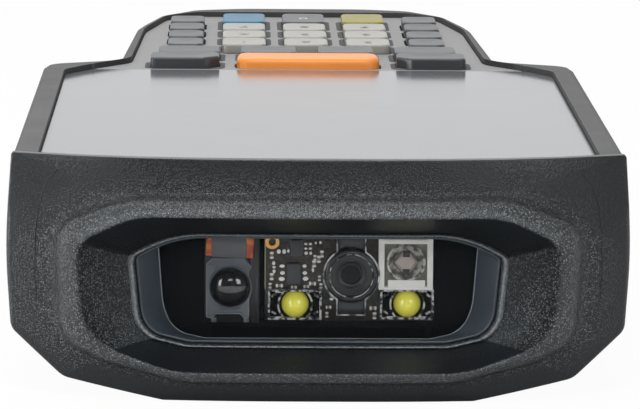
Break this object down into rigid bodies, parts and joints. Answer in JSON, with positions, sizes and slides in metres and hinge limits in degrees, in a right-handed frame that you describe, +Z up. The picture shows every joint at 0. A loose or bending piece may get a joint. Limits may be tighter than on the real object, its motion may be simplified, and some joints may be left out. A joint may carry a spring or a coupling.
{
  "type": "handheld terminal",
  "caption": "Rugged handheld terminal with a scan window in its moulded nose, a touch display, a keypad grip, side triggers and a latched battery pack.",
  "frame": {"origin": "middle of the footprint, on the supporting surface", "axes": "+X to the right seen from the keypad end, +Y from the scan window to the keypad's tail, +Z up out of the display"},
  "size_m": [0.0812, 0.1968, 0.0318],
  "materials": {
    "nose_plastic": "pebbled moulding",
    "front_plastic": "fine grained moulding",
    "rear_plastic": "fine grained moulding",
    "window_frame_plastic": "satin moulding",
    "window_glass": "coated glass",
    "black_foam": "matt",
    "shield_plastic": "matt black moulding",
    "bracket_steel": "blackened sheet",
    "chassis_zinc": "black die casting",
    "board_laminate": "solder mask on glass fibre laminate",
    "chip_resin": "moulded resin",
    "barrel_plastic": "black moulding",
    "lens_glass": "coated lens",
    "clear_optic": "clear moulding",
    "lamp_plastic": "clear moulding",
    "lamp_silicone": "phosphor under clear silicone",
    "flex_film": "amber film",
    "display_glass": "anti-glare glass over a bright display",
    "panel_metal": "black frame",
    "plate_plastic": "satin paint on a moulding",
    "mat_rubber": "matt silicone",
    "main_board_laminate": "solder mask on glass fibre laminate",
    "speaker_plastic": "moulding",
    "battery_plastic": "fine grained moulding",
    "latch_plastic": "ribbed moulding",
    "trigger_rubber": "satin",
    "screw_steel": "plated",
    "connector_plastic": "moulding",
    "contact_gold": "gold plated",
    "orange_key": "satin",
    "dark_key": "satin",
    "light_key": "satin",
    "blue_key": "satin",
    "yellow_key": "satin"
  },
  "bodies": {
    "terminal": {"nose_cap": "nose_plastic", "front_housing": "front_plastic", "rear_housing": "rear_plastic", "window_frame": "window_frame_plastic", "scan_window": "window_glass", "window_seal": "black_foam", "engine_shield": "shield_plastic", "engine_bracket": "bracket_steel", "engine_chassis": "chassis_zinc", "engine_board": "board_laminate", "engine_chips": "chip_resin", "lens_barrel": "barrel_plastic", "center_lens": "lens_glass", "aimer_lens": "clear_optic", "lamp_reflectors": "lamp_plastic", "lamp_domes": "lamp_silicone", "far_camera_housing": "barrel_plastic", "far_lens": "lens_glass", "flex_cable": "flex_film", "cover_glass": "display_glass", "glass_gasket": "black_foam", "display_panel": "panel_metal", "keypad_plate": "plate_plastic", "keypad_mat": "mat_rubber", "main_board": "main_board_laminate", "speaker": "speaker_plastic", "battery_pack": "battery_plastic", "housing_screws": "screw_steel", "dock_connector": "connector_plastic", "dock_pins": "contact_gold"},
    "battery_latch": {"battery_latch": "latch_plastic"},
    "left_trigger": {"left_trigger": "trigger_rubber"},
    "right_trigger": {"right_trigger": "trigger_rubber"},
    "scan_key": {"scan_key": "orange_key"},
    "left_action_key": {"left_action_key": "dark_key"},
    "right_action_key": {"right_action_key": "dark_key"},
    "soft_key_1": {"soft_key_1": "dark_key"},
    "soft_key_2": {"soft_key_2": "dark_key"},
    "soft_key_3": {"soft_key_3": "dark_key"},
    "soft_key_4": {"soft_key_4": "dark_key"},
    "side_key_l1": {"side_key_l1": "dark_key"},
    "key_1": {"key_1": "light_key"},
    "key_2": {"key_2": "light_key"},
    "key_3": {"key_3": "light_key"},
    "side_key_r1": {"side_key_r1": "dark_key"},
    "side_key_l2": {"side_key_l2": "dark_key"},
    "key_4": {"key_4": "light_key"},
    "key_5": {"key_5": "light_key"},
    "key_6": {"key_6": "light_key"},
    "side_key_r2": {"side_key_r2": "dark_key"},
    "side_key_l3": {"side_key_l3": "dark_key"},
    "key_7": {"key_7": "light_key"},
    "key_8": {"key_8": "light_key"},
    "key_9": {"key_9": "light_key"},
    "side_key_r3": {"side_key_r3": "dark_key"},
    "side_key_l4": {"side_key_l4": "dark_key"},
    "blue_key": {"blue_key": "blue_key"},
    "key_0": {"key_0": "dark_key"},
    "yellow_key": {"yellow_key": "yellow_key"},
    "side_key_r4": {"side_key_r4": "dark_key"}
  },
  "joints": [
    {"name": "scan_key_press", "type": "slide", "parent": "terminal", "child": "scan_key", "axis": [0, 0, -1], "range_m": [0, 0.0006], "stiffness_N_per_m": 1500, "springref_m": -0.0004},
    {"name": "left_action_key_press", "type": "slide", "parent": "terminal", "child": "left_action_key", "axis": [0, 0, -1], "range_m": [0, 0.0006], "stiffness_N_per_m": 1500, "springref_m": -0.0004},
    {"name": "right_action_key_press", "type": "slide", "parent": "terminal", "child": "right_action_key", "axis": [0, 0, -1], "range_m": [0, 0.0006], "stiffness_N_per_m": 1500, "springref_m": -0.0004},
    {"name": "soft_key_1_press", "type": "slide", "parent": "terminal", "child": "soft_key_1", "axis": [0, 0, -1], "range_m": [0, 0.0006], "stiffness_N_per_m": 1500, "springref_m": -0.0004},
    {"name": "soft_key_2_press", "type": "slide", "parent": "terminal", "child": "soft_key_2", "axis": [0, 0, -1], "range_m": [0, 0.0006], "stiffness_N_per_m": 1500, "springref_m": -0.0004},
    {"name": "soft_key_3_press", "type": "slide", "parent": "terminal", "child": "soft_key_3", "axis": [0, 0, -1], "range_m": [0, 0.0006], "stiffness_N_per_m": 1500, "springref_m": -0.0004},
    {"name": "soft_key_4_press", "type": "slide", "parent": "terminal", "child": "soft_key_4", "axis": [0, 0, -1], "range_m": [0, 0.0006], "stiffness_N_per_m": 1500, "springref_m": -0.0004},
    {"name": "side_key_l1_press", "type": "slide", "parent": "terminal", "child": "side_key_l1", "axis": [0, 0, -1], "range_m": [0, 0.0006], "stiffness_N_per_m": 1500, "springref_m": -0.0004},
    {"name": "key_1_press", "type": "slide", "parent": "terminal", "child": "key_1", "axis": [0, 0, -1], "range_m": [0, 0.0006], "stiffness_N_per_m": 1500, "springref_m": -0.0004},
    {"name": "key_2_press", "type": "slide", "parent": "terminal", "child": "key_2", "axis": [0, 0, -1], "range_m": [0, 0.0006], "stiffness_N_per_m": 1500, "springref_m": -0.0004},
    {"name": "key_3_press", "type": "slide", "parent": "terminal", "child": "key_3", "axis": [0, 0, -1], "range_m": [0, 0.0006], "stiffness_N_per_m": 1500, "springref_m": -0.0004},
    {"name": "side_key_r1_press", "type": "slide", "parent": "terminal", "child": "side_key_r1", "axis": [0, 0, -1], "range_m": [0, 0.0006], "stiffness_N_per_m": 1500, "springref_m": -0.0004},
    {"name": "side_key_l2_press", "type": "slide", "parent": "terminal", "child": "side_key_l2", "axis": [0, 0, -1], "range_m": [0, 0.0006], "stiffness_N_per_m": 1500, "springref_m": -0.0004},
    {"name": "key_4_press", "type": "slide", "parent": "terminal", "child": "key_4", "axis": [0, 0, -1], "range_m": [0, 0.0006], "stiffness_N_per_m": 1500, "springref_m": -0.0004},
    {"name": "key_5_press", "type": "slide", "parent": "terminal", "child": "key_5", "axis": [0, 0, -1], "range_m": [0, 0.0006], "stiffness_N_per_m": 1500, "springref_m": -0.0004},
    {"name": "key_6_press", "type": "slide", "parent": "terminal", "child": "key_6", "axis": [0, 0, -1], "range_m": [0, 0.0006], "stiffness_N_per_m": 1500, "springref_m": -0.0004},
    {"name": "side_key_r2_press", "type": "slide", "parent": "terminal", "child": "side_key_r2", "axis": [0, 0, -1], "range_m": [0, 0.0006], "stiffness_N_per_m": 1500, "springref_m": -0.0004},
    {"name": "side_key_l3_press", "type": "slide", "parent": "terminal", "child": "side_key_l3", "axis": [0, 0, -1], "range_m": [0, 0.0006], "stiffness_N_per_m": 1500, "springref_m": -0.0004},
    {"name": "key_7_press", "type": "slide", "parent": "terminal", "child": "key_7", "axis": [0, 0, -1], "range_m": [0, 0.0006], "stiffness_N_per_m": 1500, "springref_m": -0.0004},
    {"name": "key_8_press", "type": "slide", "parent": "terminal", "child": "key_8", "axis": [0, 0, -1], "range_m": [0, 0.0006], "stiffness_N_per_m": 1500, "springref_m": -0.0004},
    {"name": "key_9_press", "type": "slide", "parent": "terminal", "child": "key_9", "axis": [0, 0, -1], "range_m": [0, 0.0006], "stiffness_N_per_m": 1500, "springref_m": -0.0004},
    {"name": "side_key_r3_press", "type": "slide", "parent": "terminal", "child": "side_key_r3", "axis": [0, 0, -1], "range_m": [0, 0.0006], "stiffness_N_per_m": 1500, "springref_m": -0.0004},
    {"name": "side_key_l4_press", "type": "slide", "parent": "terminal", "child": "side_key_l4", "axis": [0, 0, -1], "range_m": [0, 0.0006], "stiffness_N_per_m": 1500, "springref_m": -0.0004},
    {"name": "blue_key_press", "type": "slide", "parent": "terminal", "child": "blue_key", "axis": [0, 0, -1], "range_m": [0, 0.0006], "stiffness_N_per_m": 1500, "springref_m": -0.0004},
    {"name": "key_0_press", "type": "slide", "parent": "terminal", "child": "key_0", "axis": [0, 0, -1], "range_m": [0, 0.0006], "stiffness_N_per_m": 1500, "springref_m": -0.0004},
    {"name": "yellow_key_press", "type": "slide", "parent": "terminal", "child": "yellow_key", "axis": [0, 0, -1], "range_m": [0, 0.0006], "stiffness_N_per_m": 1500, "springref_m": -0.0004},
    {"name": "side_key_r4_press", "type": "slide", "parent": "terminal", "child": "side_key_r4", "axis": [0, 0, -1], "range_m": [0, 0.0006], "stiffness_N_per_m": 1500, "springref_m": -0.0004},
    {"name": "left_trigger_press", "type": "slide", "parent": "terminal", "child": "left_trigger", "axis": [1, 0, 0], "range_m": [0, 0.0004], "stiffness_N_per_m": 2500, "springref_m": -0.0004},
    {"name": "right_trigger_press", "type": "slide", "parent": "terminal", "child": "right_trigger", "axis": [-1, 0, 0], "range_m": [0, 0.0004], "stiffness_N_per_m": 2500, "springref_m": -0.0004},
    {"name": "battery_latch_slide", "type": "slide", "parent": "terminal", "child": "battery_latch", "axis": [0, 1, 0], "range_m": [0, 0.0019], "stiffness_N_per_m": 900, "springref_m": -0.001}
  ]
}
